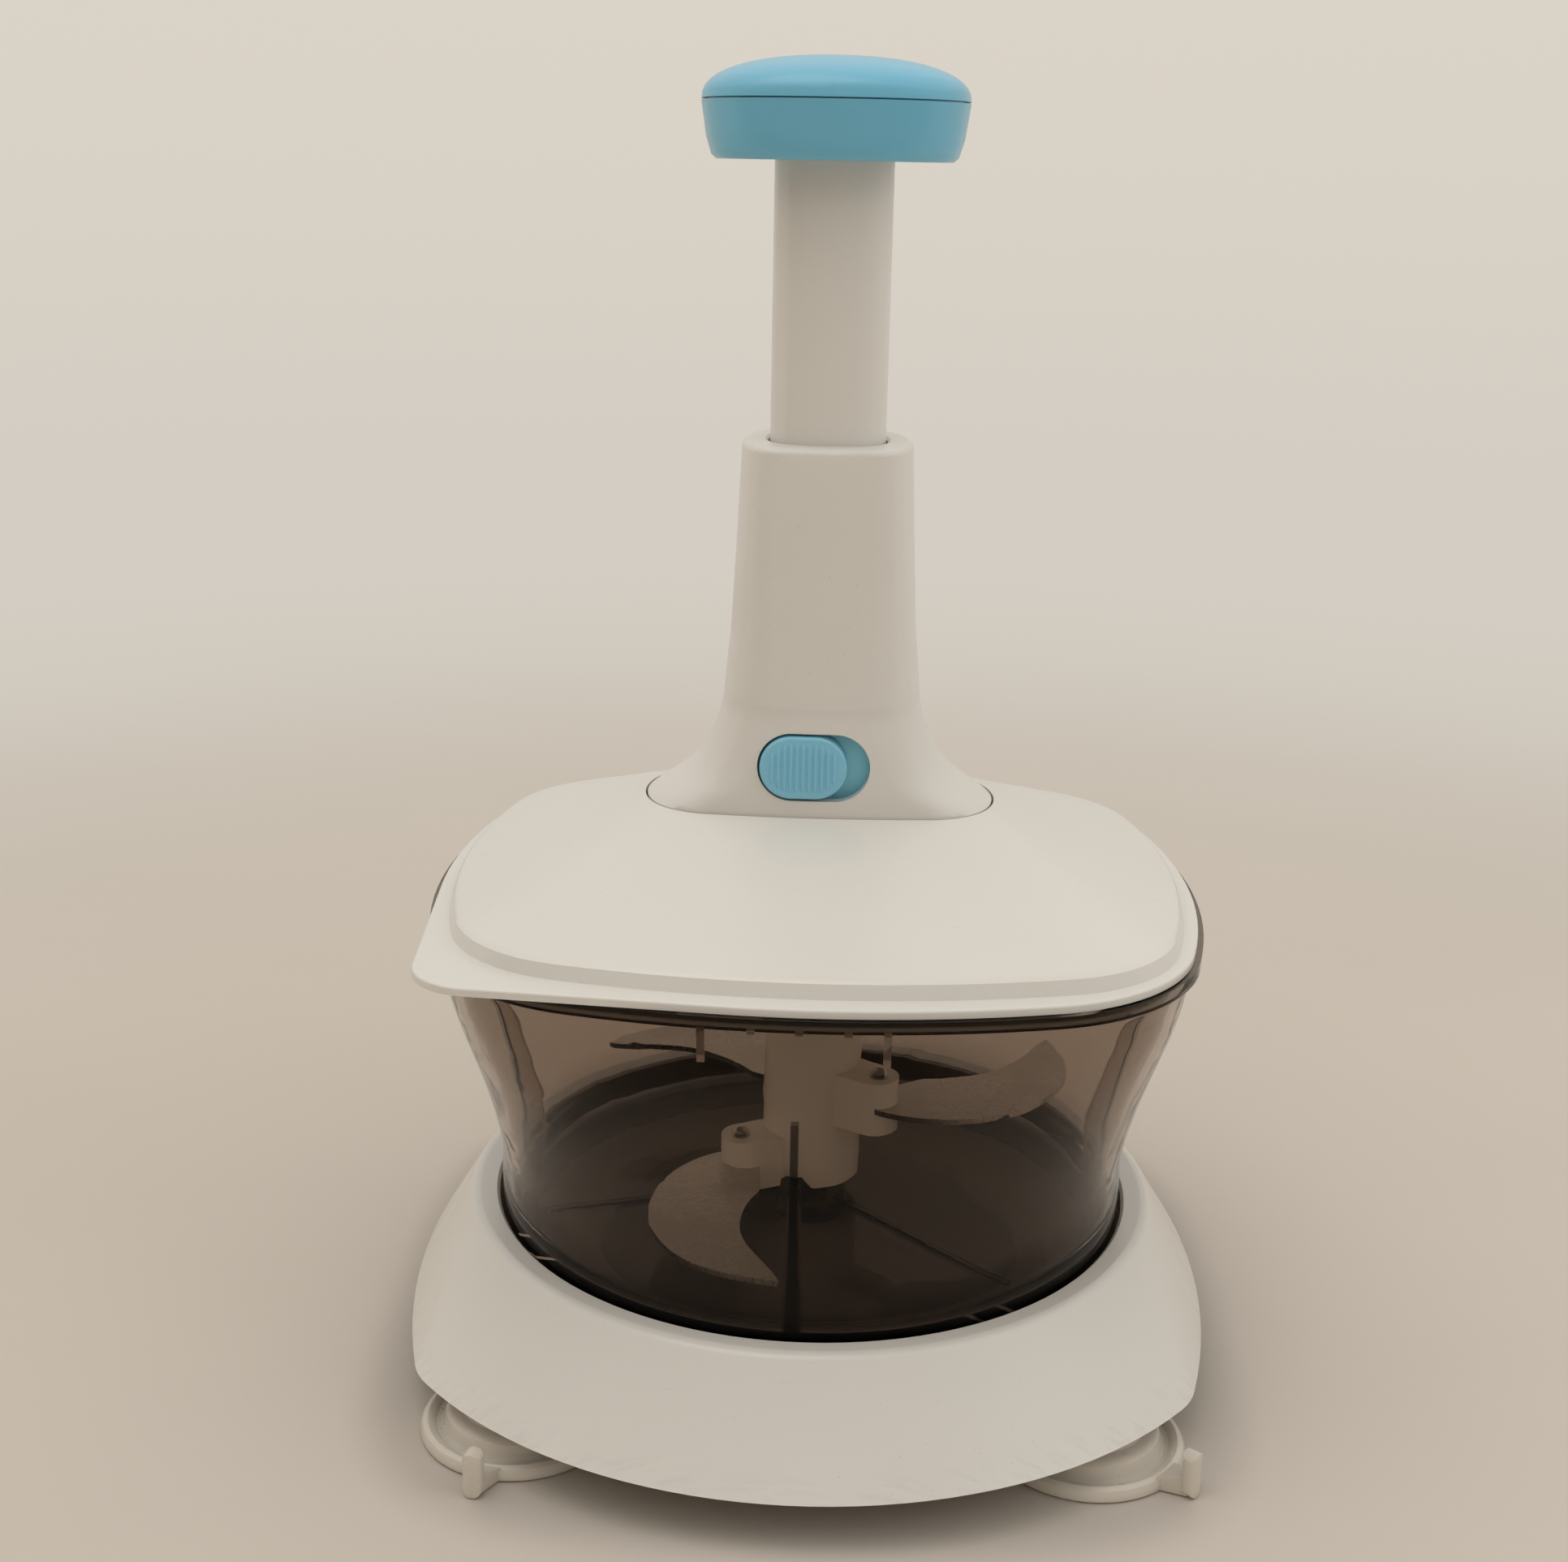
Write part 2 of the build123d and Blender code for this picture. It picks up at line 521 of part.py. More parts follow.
def make_tower():
    z_low, z_high = TOWER_FLANGE_Z
    top = TOWER_SECTIONS[-1]
    flare, column = TOWER_SECTIONS[:FLARE_ROWS], TOWER_SECTIONS[FLARE_ROWS - 1:]
    outer = plan_loft(flare, TOWER_TURNS, ruled=False) + plan_loft(column, TOWER_TURNS)
    lip = ((1.4, 0), (0.7, 0.25), (0.25, 0.8), (0, 1.7))
    rounding = [(TOWER_TOP_Z - drop, *inset(top[1:], d)) for drop, d in lip]
    outer += plan_loft(rounding, TOWER_TURNS)
    neck = plan_prism(z_low, TOWER_SECTIONS[0][0], *TOWER_SECTIONS[0][1:], TOWER_TURNS)
    tower = outer + neck + plan_prism(z_low, z_high, *inset(TOWER_FOOT, -1.6), TOWER_TURNS)
    tower -= tower_cavity()
    tower -= plan_prism(BORE_Z - 0.5, SLEEVE_Z[1], BORE_HALF, BORE_HALF, BORE_CORNER)
    mouth = (TUBE_HALF + 0.45, TUBE_HALF + 0.45, TUBE_CORNER + 0.4)
    tower -= plan_prism(SLEEVE_Z[1], TOWER_TOP_Z + 1, *mouth)
    tower -= plan_loft([(TOWER_TOP_Z - 0.5, *mouth), (TOWER_TOP_Z + 0.01, *inset(mouth, -0.5))])
    for x in (-TOWER_SCREW_X, TOWER_SCREW_X):
        tower += rod(3.8, z_low, DOME_TOP_Z + 4, x) & (outer + neck)
        tower -= rod(SCREW_R, z_low, z_low + 6, x)
    slot = Plane.XZ * Pos(SLOT_X, SWITCH_Z) * SlotOverall(*SLOT)
    tower -= Pos(0, SHUTTER_Y[0] + 0.6, 0) * extrude(slot, 6)
    # pocket in which the shutter plate of the slide runs
    x0, x1 = SHUTTER_X[0] - SHUTTER_PLAY, SHUTTER_X[1] + SWITCH_TRAVEL + SHUTTER_PLAY
    y0, y1 = SHUTTER_Y[0] - SHUTTER_PLAY, SHUTTER_Y[1] + 3
    pocket = Plane.XZ * Pos((x0 + x1) / 2, SWITCH_Z) * SlotOverall(x1 - x0, SHUTTER_H + 2 * SHUTTER_PLAY)
    tower -= Pos(0, y1, 0) * extrude(pocket, y1 - y0)
    save("tower_housing", tower)
    sleeve = plan_prism(*SLEEVE_Z, BORE_HALF - 0.05, BORE_HALF - 0.05, BORE_CORNER)
    guide = TUBE_HALF + 0.15
    save("guide_sleeve", sleeve - plan_prism(*SLEEVE_Z, guide, guide, TUBE_CORNER + 0.15))


# ---------------------------------------------------------------------- plunger
def make_push_tube():
    z0, z1 = TUBE_Z
    tube = plan_prism(z0, z1, TUBE_HALF, TUBE_HALF, TUBE_CORNER)
    collar = plan_prism(z0, z0 + COLLAR_H, TUBE_COLLAR, TUBE_COLLAR, TUBE_CORNER + 0.9)
    # flat at the front, where the shutter plate of the slide stands
    tube += collar - block((-TUBE_COLLAR, TUBE_COLLAR), (-TUBE_COLLAR - 1, -TUBE_HALF), (z0, z0 + COLLAR_H))
    inner = TUBE_HALF - TUBE_WALL
    tube -= plan_prism(z0, TUBE_END_Z, inner, inner, TUBE_CORNER - TUBE_WALL)
    tube += rod(4.5, TUBE_END_Z - 5, TUBE_END_Z + 1)
    tube -= rod(1.5, TUBE_END_Z - 4, z1)
    # the lock tongue runs in the long groove and turns off into the short recess
    groove_x = (TONGUE_X[0] - 0.4, TONGUE_X[1] + 0.4)
    recess_x = (groove_x[0], TONGUE_X[1] + SWITCH_TRAVEL + 0.4)
    recess_z = (TONGUE_Z[0] + STROKE - 0.6, TONGUE_Z[1] + STROKE + 0.6)
    groove_y = (-TUBE_HALF - 3, TONGUE_TIP_Y + 0.3)
    tube -= block(groove_x, groove_y, (z0 - 1, recess_z[1]))
    tube -= block(recess_x, groove_y, recess_z)
    pins = []
    for side in (-1, 1):
        pin = Pos(side * 9.05, 0, NUT_PIN_Z) * Rot(0, 90, 0) * Cylinder(1.2, 3.7)
        tube -= Pos(side * 10, 0, NUT_PIN_Z) * Rot(0, 90, 0) * Cylinder(1.2, 4)
        pins.append(pin)
    save("push_tube", tube)
    save("nut_pins", Compound(pins))
    nut = plan_prism(*NUT_Z, inner - 0.1, inner - 0.1, TUBE_CORNER - TUBE_WALL - 0.1)
    nut -= twisted_bar(SPINDLE_SQUARE + 2 * NUT_PLAY, NUT_Z[0] - 0.5, NUT_Z[1] + 0.5)
    for pin in pins:
        nut -= pin
    save("drive_nut", nut)


def make_knob():
    z0, parting, z1 = KNOB_Z
    half = KNOB_HALF
    base = plan_loft([
        (z0, half - 2.8, half - 2.8, 17.2),
        (z0 + 0.8, half - 1.9, half - 1.9, 18.0),
        (z0 + 4, half - 0.9, half - 0.9, 19.0),
        (parting + 0.3, half, half, 20.0),
    ])
    base -= plan_loft([
        (z0 - 0.01, half - 4.4, half - 4.4, 15.6),
        (parting - 2, half - 2.3, half - 2.3, 17.7),
    ])
    socket = TUBE_HALF + 0.05
    base += plan_prism(z0, parting - 1.9, socket + 2, socket + 2, TUBE_CORNER + 2)
    base -= plan_prism(z0, parting - 2, socket, socket, TUBE_CORNER)
    base -= plan_prism(parting, parting + 1, half - 0.9, half - 0.9, 19.1)
    base -= rod(1.7, parting - 3, parting + 1)
    save("knob_base", base)
    # rounded cap: a superellipse in section
    bottom, height, steps = parting + 0.6, z1 - parting - 0.6, 12
    rows = []
    for i in range(steps + 1):
        angle = radians(86) * i / steps
        size = half * cos(angle) ** (2 / 2.2)
        rows.append((bottom + height * sin(angle) ** (2 / 2.35), size, size, size * 20 / half))
    cap = plan_loft(rows)
    cap += plan_prism(parting, bottom, half - 1.0, half - 1.0, 19.0)
    cap -= plan_loft([
        (parting, half - 3.2, half - 3.2, 17.0),
        (parting + 4, half - 4.4, half - 4.4, 16.0),
        (z1 - 2.6, half - 10, half - 10, 12.0),
    ])
    save("knob_top", cap)
    head = rod(3.6, parting, parting + 2.2) - hexagon(3.0, parting + 1, parting + 3)
    save("knob_screw", head + rod(1.5, TUBE_END_Z - 3, parting))


# ------------------------------------------------------- spindle, spring, switch
def twisted_bar(across, z0, z1):
    """Rounded square bar that turns clockwise going up, in step with SPINDLE_LEAD."""
    per_mm = -360 / SPINDLE_LEAD
    section = Rot(0, 0, per_mm * (z0 - SPINDLE_Z[0])) * RectangleRounded(across, across, 1.0)
    section = Pos(0, 0, z0) * section
    up = (0, 0, z1 - z0)
    return Solid.extrude_linear_with_rotation(section.face(), (0, 0, z0), up, per_mm * (z1 - z0))


def make_spindle():
    collar_z = BOSS_Z[1] + 1.8
    spindle = twisted_bar(SPINDLE_SQUARE, *SPINDLE_Z)
    spindle += rod(JOURNAL_R, DOG_Z[2], SPINDLE_Z[0])
    spindle += rod(6.2, collar_z, collar_z + 2)
    spindle += rod(3.0, SPINDLE_Z[1], SEAT_Z[2])
    tang = block((-2.5, 2.5), (-2.5, 2.5), (DOG_Z[0] + 4, DOG_Z[2]))
    spindle += tang
    spindle -= rod(1.2, DOG_Z[0] + 4, DOG_Z[0] + 9)
    save("spindle", spindle)
    seat = rod(7.8, SEAT_Z[0], SEAT_Z[1]) + rod(5.0, SEAT_Z[1], SEAT_Z[2])
    save("spring_seat", seat - rod(3.0, SEAT_Z[0], SEAT_Z[2]))
    dog = hexagon(HEX_AF, DOG_Z[0], DOG_Z[1]) + rod(9.8, DOG_Z[1], DOG_Z[2])
    dog -= tang
    dog -= rod(2.7, DOG_Z[0], DOG_Z[0] + 2) + rod(1.4, DOG_Z[0], DOG_Z[0] + 4)
    save("drive_dog", dog)
    save("dog_screw", screw(0, 0, DOG_Z[0] + 0.6, 2.5, 1.4, 1.2, DOG_Z[0] + 8.5))


def make_spring():
    z0, z1 = SEAT_Z[1] + WIRE_R, TUBE_END_Z - WIRE_R
    path = Pos(0, 0, z0) * Helix((z1 - z0) / COILS, z1 - z0, COIL_R)
    start = Plane(origin=path @ 0, z_dir=path % 0)
    save("return_spring", sweep(start * Circle(WIRE_R), path, is_frenet=True))


def make_switch():
    y0, y1 = SHUTTER_Y
    plan = SlotOverall(SHUTTER_X[1] - SHUTTER_X[0], SHUTTER_H)
    plate = extrude(Plane.XZ * Pos(sum(SHUTTER_X) / 2, SWITCH_Z) * plan, y1 - y0)
    pad = extrude(Plane.XZ * Pos(PAD_X, SWITCH_Z) * SlotOverall(*PAD), y1 - PAD_Y)
    pad = fillet(pad.edges().group_by(Axis.Y)[0], 0.5)
    save("slide_switch", Pos(0, y1, 0) * (plate + pad))
    save("lock_tongue", block(TONGUE_X, (y1, TONGUE_TIP_Y), TONGUE_Z))


make_base()
for cup_name, tab_azimuth in CUP_TABS.items():
    make_cup(cup_name, tab_azimuth)
make_bowl()
make_rotor()
make_lid_cover()
make_lid_plate()
make_tower()
make_push_tube()
make_knob()
make_spindle()
make_spring()
make_switch()
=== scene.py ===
"""Looks of a plunger food chopper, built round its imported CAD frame. Metres, front towards -Y."""

import math

import bmesh
import bpy
from mathutils import Euler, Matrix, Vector


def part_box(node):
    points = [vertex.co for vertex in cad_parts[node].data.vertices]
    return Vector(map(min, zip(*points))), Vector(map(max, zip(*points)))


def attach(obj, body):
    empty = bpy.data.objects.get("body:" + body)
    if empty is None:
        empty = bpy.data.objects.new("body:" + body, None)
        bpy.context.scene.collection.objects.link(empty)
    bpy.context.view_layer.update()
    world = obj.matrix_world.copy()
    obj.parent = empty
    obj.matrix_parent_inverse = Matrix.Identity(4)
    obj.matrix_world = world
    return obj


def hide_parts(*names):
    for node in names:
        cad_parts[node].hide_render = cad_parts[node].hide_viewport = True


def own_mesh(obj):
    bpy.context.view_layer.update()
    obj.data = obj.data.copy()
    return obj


bl_info = {
    "name": "Plunger Food Chopper",
    "version": (1, 0, 0),
    "blender": (4, 5, 0),
    "location": "View3D > Sidebar > Chopper",
    "description": "Builds the looks of a plunger food chopper on its CAD frame",
    "category": "Object",
}

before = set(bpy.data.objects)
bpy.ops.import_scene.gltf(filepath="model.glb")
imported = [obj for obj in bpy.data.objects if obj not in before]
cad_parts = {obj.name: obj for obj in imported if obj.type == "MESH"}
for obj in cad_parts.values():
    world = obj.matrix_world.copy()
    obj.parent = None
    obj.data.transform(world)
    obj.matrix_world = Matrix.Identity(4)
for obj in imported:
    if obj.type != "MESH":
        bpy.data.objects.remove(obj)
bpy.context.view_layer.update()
MM = 0.001
MERGE = 0.002 * MM  # corners of a CAD mesh nearer than this are one
CREASE = math.radians(32.0)  # a steeper fold between two faces stays sharp

# Places on the chopper that its finishes need.
SHUTTER_Y = -13.0 * MM  # front of the plate behind the thumb pad
SCUFF_Z = (10.0 * MM, 16.0 * MM)  # scuffs fade out between these heights
RIM_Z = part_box("bowl")[1][2] - 2.3 * MM  # underside of the bowl's rim
RIM_FADE = (RIM_Z - 0.3 * MM, RIM_Z + 0.2 * MM)
RIB_Z = (27.2 * MM, 73.5 * MM)  # foot and top of the ribs on the bowl's wall
RIB_INNER = 57.5 * MM  # the ribs stand outside this distance from the middle
RIB_TIP_Z, RIB_TAPER = 75.0 * MM, 0.042  # where a rib would end in an edge, and its slope
RIB_HALF = (0.6 * MM, 0.85 * MM)  # half the thickness of a rib, without and with its soft edge
FIN_Z = 84.0 * MM  # foot of the fins under the rim
FIN_WALL_Z, FIN_WALL_Y, FIN_WALL_SLOPE = 87.0 * MM, 68.42 * MM, 0.055  # the wall behind them
FLOOR_FADE = (29.0 * MM, 42.0 * MM)  # the thick floor of the bowl and its round corner

# The stage.
LAMP_AT, LAMP_AIM, LAMP_SIZE = (-0.25, -0.20, 1.25), (0.0, 0.0, 0.1), 0.8
LAMP_COLOUR = (1.0, 0.975, 0.93)
WINDOW_AT, WINDOW_AIM, WINDOW_SIZE = (0.62, -0.25, 0.32), (0.0, 0.0, 0.15), 0.4
WINDOW_COLOUR = (0.86, 0.93, 1.0)
COVE_TURNS, COVE_STEPS = 96, 12  # facets round the backdrop and up its bend
FLOOR_RINGS = (0.15, 0.4, 0.8)  # rings of vertices in the flat of the floor
# Painted shade: the cloth is darkened within this squarish outline under the chopper.
PAINTED_SHADE_OUTLINE = (0.080, 0.094)  # the cloth is in shade within this squarish outline
ROOM_FRONT = (0.10, 0.22)  # the room starts this far in front of the middle


# ------------------------------------------------------------- node building
class Value:
    """A number socket in a node tree; the usual operators add Math nodes."""

    def __init__(self, tree, socket):
        self.tree = tree
        self.socket = socket

    def math(self, operation, first, second=None):
        return self.tree.math(operation, first, second)

    def __add__(self, other):
        return self.math("ADD", self, other)

    def __radd__(self, other):
        return self.math("ADD", other, self)

    def __sub__(self, other):
        return self.math("SUBTRACT", self, other)

    def __rsub__(self, other):
        return self.math("SUBTRACT", other, self)

    def __mul__(self, other):
        return self.math("MULTIPLY", self, other)

    def __rmul__(self, other):
        return self.math("MULTIPLY", other, self)

    def __truediv__(self, other):
        return self.math("DIVIDE", self, other)

    def __rtruediv__(self, other):
        return self.math("DIVIDE", other, self)

    def __pow__(self, other):
        return self.math("POWER", self, other)

    def __gt__(self, other):
        return self.math("GREATER_THAN", self, other)

    def __lt__(self, other):
        return self.math("LESS_THAN", self, other)

    def __abs__(self):
        return self.math("ABSOLUTE", self)

    def above(self, other):
        """The larger of this and another number."""
        return self.math("MAXIMUM", self, other)


class Tree:
    """A node tree that is filled by one method."""

    def __init__(self, tree):
        self.tree = tree

    def node(self, kind, settings, inputs, output=0):
        """Add a node, set its settings and then its sockets, and return one output."""
        made = self.tree.nodes.new(kind)
        for key, value in settings.items():
            setattr(made, key, value)
        for key, value in inputs.items():
            if isinstance(value, Value):
                self.tree.links.new(value.socket, made.inputs[key])
            else:
                made.inputs[key].default_value = value
        return Value(self, made.outputs[output])

    def math(self, operation, first, second=None, clamp=False):
        """A Math node."""
        values = {0: first} if second is None else {0: first, 1: second}
        return self.node("ShaderNodeMath", {"operation": operation, "use_clamp": clamp}, values)

    def smooth(self, value, start, end):
        """0 before start, 1 after end, with a soft step between."""
        sockets = {"Value": value, "From Min": start, "From Max": end}
        return self.node("ShaderNodeMapRange", {"interpolation_type": "SMOOTHSTEP"}, sockets)

    def mix(self, factor, a, b):
        """Blend two colours."""
        return self.node("ShaderNodeMix", {"data_type": "RGBA"}, {0: factor, 6: a, 7: b}, 2)

    def split(self, vector):
        """The three numbers of a vector."""
        return [self.node("ShaderNodeSeparateXYZ", {}, {"Vector": vector}, axis) for axis in range(3)]


class Finish(Tree):
    """One material: a Principled shader and the nodes that vary over its surface."""

    def __init__(self, name, **constants):
        self.material = bpy.data.materials.new(name)
        self.material.use_nodes = True
        super().__init__(self.material.node_tree)
        self.shader = self.tree.nodes["Principled BSDF"]
        for key, value in constants.items():
            self.shader.inputs[key.replace("_", " ")].default_value = value
        self.place = self.node("ShaderNodeTexCoord", {}, {}, "Object")

    def noise(self, scale, detail=3.0, rough=0.5, stretch=None):
        """Noise on the piece's own coordinates, scale in cycles a metre."""
        place = self.place
        if stretch:
            place = self.node("ShaderNodeMapping", {}, {"Vector": place, "Scale": stretch})
        sockets = {"Vector": place, "Scale": scale, "Detail": detail, "Roughness": rough}
        return self.node("ShaderNodeTexNoise", {}, sockets)

    def spots(self, scale, size):
        """Small round specks with a soft edge: 1 in a speck, 0 elsewhere."""
        sockets = {"Vector": self.place, "Scale": scale}
        cell = self.node("ShaderNodeTexVoronoi", {"feature": "F1"}, sockets)
        return 1 - self.smooth(cell, start=0.7 * size, end=size)

    def bump(self, height, strength, distance):
        """Normal from a height."""
        sockets = {"Height": height, "Strength": strength, "Distance": distance}
        return self.node("ShaderNodeBump", {}, sockets)

    def feed(self, socket, value):
        """Link a value into a socket of the shader."""
        self.tree.links.new(value.socket, self.shader.inputs[socket])

    def surface(self, value):
        """Make a shader the whole surface of the material."""
        self.tree.links.new(value.socket, self.tree.nodes["Material Output"].inputs["Surface"])


class Pattern(Tree):
    """Geometry nodes that repeat a shape, with named inputs for its sizes."""

    KINDS = {
        int: "NodeSocketInt", float: "NodeSocketFloat", bpy.types.Material: "NodeSocketMaterial",
    }

    def __init__(self, name, **sizes):
        super().__init__(bpy.data.node_groups.new(name, "GeometryNodeTree"))
        self.name = name
        self.given = {}
        for key, value in sizes.items():
            label, kind = key.replace("_", " ").title(), self.KINDS[type(value)]
            socket = self.tree.interface.new_socket(label, in_out="INPUT", socket_type=kind)
            self.given[socket.identifier] = value
        self.tree.interface.new_socket("Geometry", in_out="OUTPUT", socket_type="NodeSocketGeometry")
        entry = self.tree.nodes.new("NodeGroupInput")
        self.size = {key: Value(self, socket) for key, socket in zip(sizes, entry.outputs)}

    def vector(self, x, y, z):
        """A vector from three numbers."""
        return self.node("ShaderNodeCombineXYZ", {}, {"X": x, "Y": y, "Z": z})

    def built(self, shape):
        """End the tree, run it, and return its shape as a plain mesh piece."""
        solid = self.node("GeometryNodeRealizeInstances", {}, {"Geometry": shape})
        solid = self.node("GeometryNodeSetShadeSmooth", {}, {"Geometry": solid})
        coloured = {"Geometry": solid, "Material": self.size["material"]}
        solid = self.node("GeometryNodeSetMaterial", {}, coloured)
        end = self.tree.nodes.new("NodeGroupOutput")
        self.tree.links.new(solid.socket, end.inputs["Geometry"])
        piece = bpy.data.objects.new(self.name, bpy.data.meshes.new(self.name))
        bpy.context.scene.collection.objects.link(piece)
        modifier = piece.modifiers.new(self.name, "NODES")
        modifier.node_group = self.tree
        for identifier, value in self.given.items():
            modifier[identifier] = value
        return settled(piece)


def rgba(colour, gain=1.0):
    """Colour property as a four-part value, lightened or darkened."""
    return tuple(min(1.0, c * gain) for c in colour[:3]) + (1.0,)


def moulded_plastic(name, colour, rough, shade=0.93, coat=0.0, painted_light_y=None):
    """Injection-moulded plastic: faint flow lines, orange peel, handling marks and dust.

    If a plane across y is given, the colour behind it is lighter: painted light for a recess in shade."""
    made = Finish(name, IOR=1.5, Specular_IOR_Level=0.5, Coat_Roughness=0.12, Coat_IOR=1.45)
    flow = made.noise(scale=16.0, rough=0.55, stretch=(1.0, 1.0, 2.2))
    grain = made.noise(scale=1100.0, rough=0.6)
    peel = made.noise(scale=190.0, detail=2.0)
    scratch = made.noise(scale=70.0, detail=5.0, rough=0.75, stretch=(1.0, 11.0, 3.0))
    smudge = made.smooth(made.noise(scale=38.0, rough=0.6), start=0.52, end=0.70)
    specks = made.spots(scale=380.0, size=0.07) * (made.noise(scale=33.0) > 0.56)
    _, depth, height = made.split(made.place)
    scuffed = (1 - made.smooth(height, *SCUFF_Z)) * made.smooth(scratch, start=0.45, end=0.7)
    tone = made.mix(flow * 0.7 + grain * 0.15, rgba(colour, 1.03), rgba(colour, shade))
    tone = made.mix(specks * 0.3, tone, rgba(colour, 0.5))
    tone = made.mix(scuffed * 0.22, tone, rgba(colour, 0.62))
    # Painted light: a lighter colour behind the given plane, where the recess lies in shade.
    if painted_light_y is not None:
        tone = made.mix(made.smooth(depth, painted_light_y - 0.3 * MM, painted_light_y), tone, rgba(colour, 1.4))
    made.feed("Base Color", tone)
    made.feed("Roughness", rough + (scratch - 0.5) * 0.14 + smudge * 0.08 + scuffed * 0.12)
    made.feed("Coat Weight", coat * (1 - smudge * 0.5))
    made.feed("Normal", made.bump(peel * 0.75 + grain * 0.25, strength=0.07, distance=0.4 * MM))
    return made.material


def smoke_clear(name, colour, rib_turn):
    """Clear smoke-tinted moulding: darker where it is thick, with flow marks and wiping scratches."""
    made = Finish(name, IOR=1.22, Transmission_Weight=1.0, Specular_IOR_Level=0.5)
    x, y, z = made.split(made.place)
    along = abs(x * math.cos(rib_turn) + y * math.sin(rib_turn))
    across = abs(y * math.cos(rib_turn) - x * math.sin(rib_turn))
    rib_side = ((RIB_TIP_Z - z) * RIB_TAPER).above(RIB_HALF[1])
    rib = 1 - made.smooth(made.math("MINIMUM", along, across), RIB_HALF[0], rib_side)
    rib = rib * (along.above(across) > RIB_INNER) * (z > RIB_Z[0]) * (z < RIB_Z[1])
    past_wall = abs(y) - (z - FIN_WALL_Z) * FIN_WALL_SLOPE
    fin = (past_wall > FIN_WALL_Y) * (z > FIN_Z) * (z < RIM_Z)
    rim = made.smooth(z, *RIM_FADE)
    floor = 1 - made.smooth(z, *FLOOR_FADE)
    thick = made.math("ADD", rib * 0.95 + fin * 0.9 + floor * 0.38, rim * 0.8, clamp=True)
    flow = made.noise(scale=11.0, stretch=(1.0, 1.0, 1.8))
    tint = made.mix(flow, rgba(colour, 1.05), rgba(colour, 0.93))
    made.feed("Base Color", made.mix(thick, tint, rgba(colour, 0.16)))
    wipe = made.noise(scale=95.0, detail=5.0, rough=0.75, stretch=(1.0, 1.0, 8.0))
    touched = made.smooth(made.noise(scale=30.0), start=0.5, end=0.68)
    made.feed("Roughness", 0.012 + made.smooth(wipe, start=0.5, end=0.8) * 0.05 + touched * 0.03)
    waves = made.noise(scale=24.0, detail=1.0) + wipe * 0.02
    made.feed("Normal", made.bump(waves, strength=0.06, distance=0.7 * MM))
    return made.material


def soft_vinyl(name, colour):
    """Milky translucent vinyl with a slight skin and a little lint."""
    made = Finish(
        name, IOR=1.5, Transmission_Weight=0.15,
        Subsurface_Weight=0.3, Subsurface_Scale=4.0 * MM, Subsurface_Radius=(1.0, 0.93, 0.85),
    )
    cloud = made.noise(scale=80.0, detail=4.0)
    lint = made.spots(scale=600.0, size=0.10) * (made.noise(scale=60.0) > 0.54)
    tone = made.mix(cloud, rgba(colour, 1.06), rgba(colour, 0.86))
    made.feed("Base Color", made.mix(lint * 0.45, tone, rgba(colour, 0.45)))
    made.feed("Roughness", made.noise(scale=300.0) * 0.18 + 0.22)
    skin = made.noise(scale=520.0, detail=2.0)
    made.feed("Normal", made.bump(skin, strength=0.14, distance=0.4 * MM))
    return made.material


def ground_steel(name, colour, rough, stretch):
    """Steel with grinding lines along one direction, faint water marks and fine pits."""
    made = Finish(name, Metallic=1.0)
    lines = made.noise(scale=700.0, rough=0.6, stretch=stretch)
    cloud = made.noise(scale=45.0)
    pits = made.spots(scale=1500.0, size=0.12)
    marks = made.smooth(cloud, start=0.5, end=0.7)
    tone = made.mix(lines * 0.6 + cloud * 0.4, rgba(colour, 1.12), rgba(colour, 0.76))
    made.feed("Base Color", made.mix(pits * 0.3, tone, rgba(colour, 0.4)))
    made.feed("Roughness", rough + (lines - 0.5) * 0.22 + marks * 0.08)
    made.feed("Normal", made.bump(lines - pits * 0.3, strength=0.12, distance=0.2 * MM))
    return made.material


def finishes():
    """The materials by the kind of surface they are for, made once and kept by name."""
    looks = bpy.context.scene.chopper_looks
    makers = {
        "white_plastic": (
            moulded_plastic, "warm white moulding", looks.white,
            {"rough": 0.30, "shade": 0.94, "coat": 0.25},
        ),
        "blue_plastic": (
            moulded_plastic, "light blue moulding", looks.blue,
            {"rough": 0.34, "shade": 0.9, "coat": 0.2},
        ),
        # Painted light: a lighter copy of the blue for the shaded slide, lighter still behind the
        # shutter's plane.
        "slide": (
            moulded_plastic, "pale blue moulding", looks.slide,
            {"rough": 0.36, "shade": 0.92, "coat": 0.15, "painted_light_y": SHUTTER_Y},
        ),
        "smoke_clear": (
            smoke_clear, "smoke clear moulding", looks.smoke, {"rib_turn": looks.rib_turn},
        ),
        "clear_vinyl": (soft_vinyl, "milky vinyl", looks.vinyl, {}),
        "nylon": (moulded_plastic, "natural nylon", looks.nylon, {"rough": 0.45}),
        "silicone": (moulded_plastic, "soft silicone", looks.nylon, {"rough": 0.6}),
        "blade_steel": (
            ground_steel, "ground blade steel", looks.steel, {"rough": 0.28, "stretch": (1, 12, 1)},
        ),
        "pin_steel": (
            ground_steel, "polished pin steel", looks.steel, {"rough": 0.18, "stretch": (1, 1, 8)},
        ),
        "screw_steel": (
            ground_steel, "plated screw steel", looks.steel, {"rough": 0.34, "stretch": (1, 1, 1)},
        ),
        "spindle_steel": (
            ground_steel, "drawn bar steel", looks.steel, {"rough": 0.3, "stretch": (8, 8, 1)},
        ),
        "spring_steel": (
            ground_steel, "drawn wire steel", looks.steel, {"rough": 0.36, "stretch": (1, 1, 1)},
        ),
    }
    made = {}
    for surface, (maker, name, colour, traits) in makers.items():
        made[surface] = bpy.data.materials.get(name) or maker(name, colour, **traits)
    return made


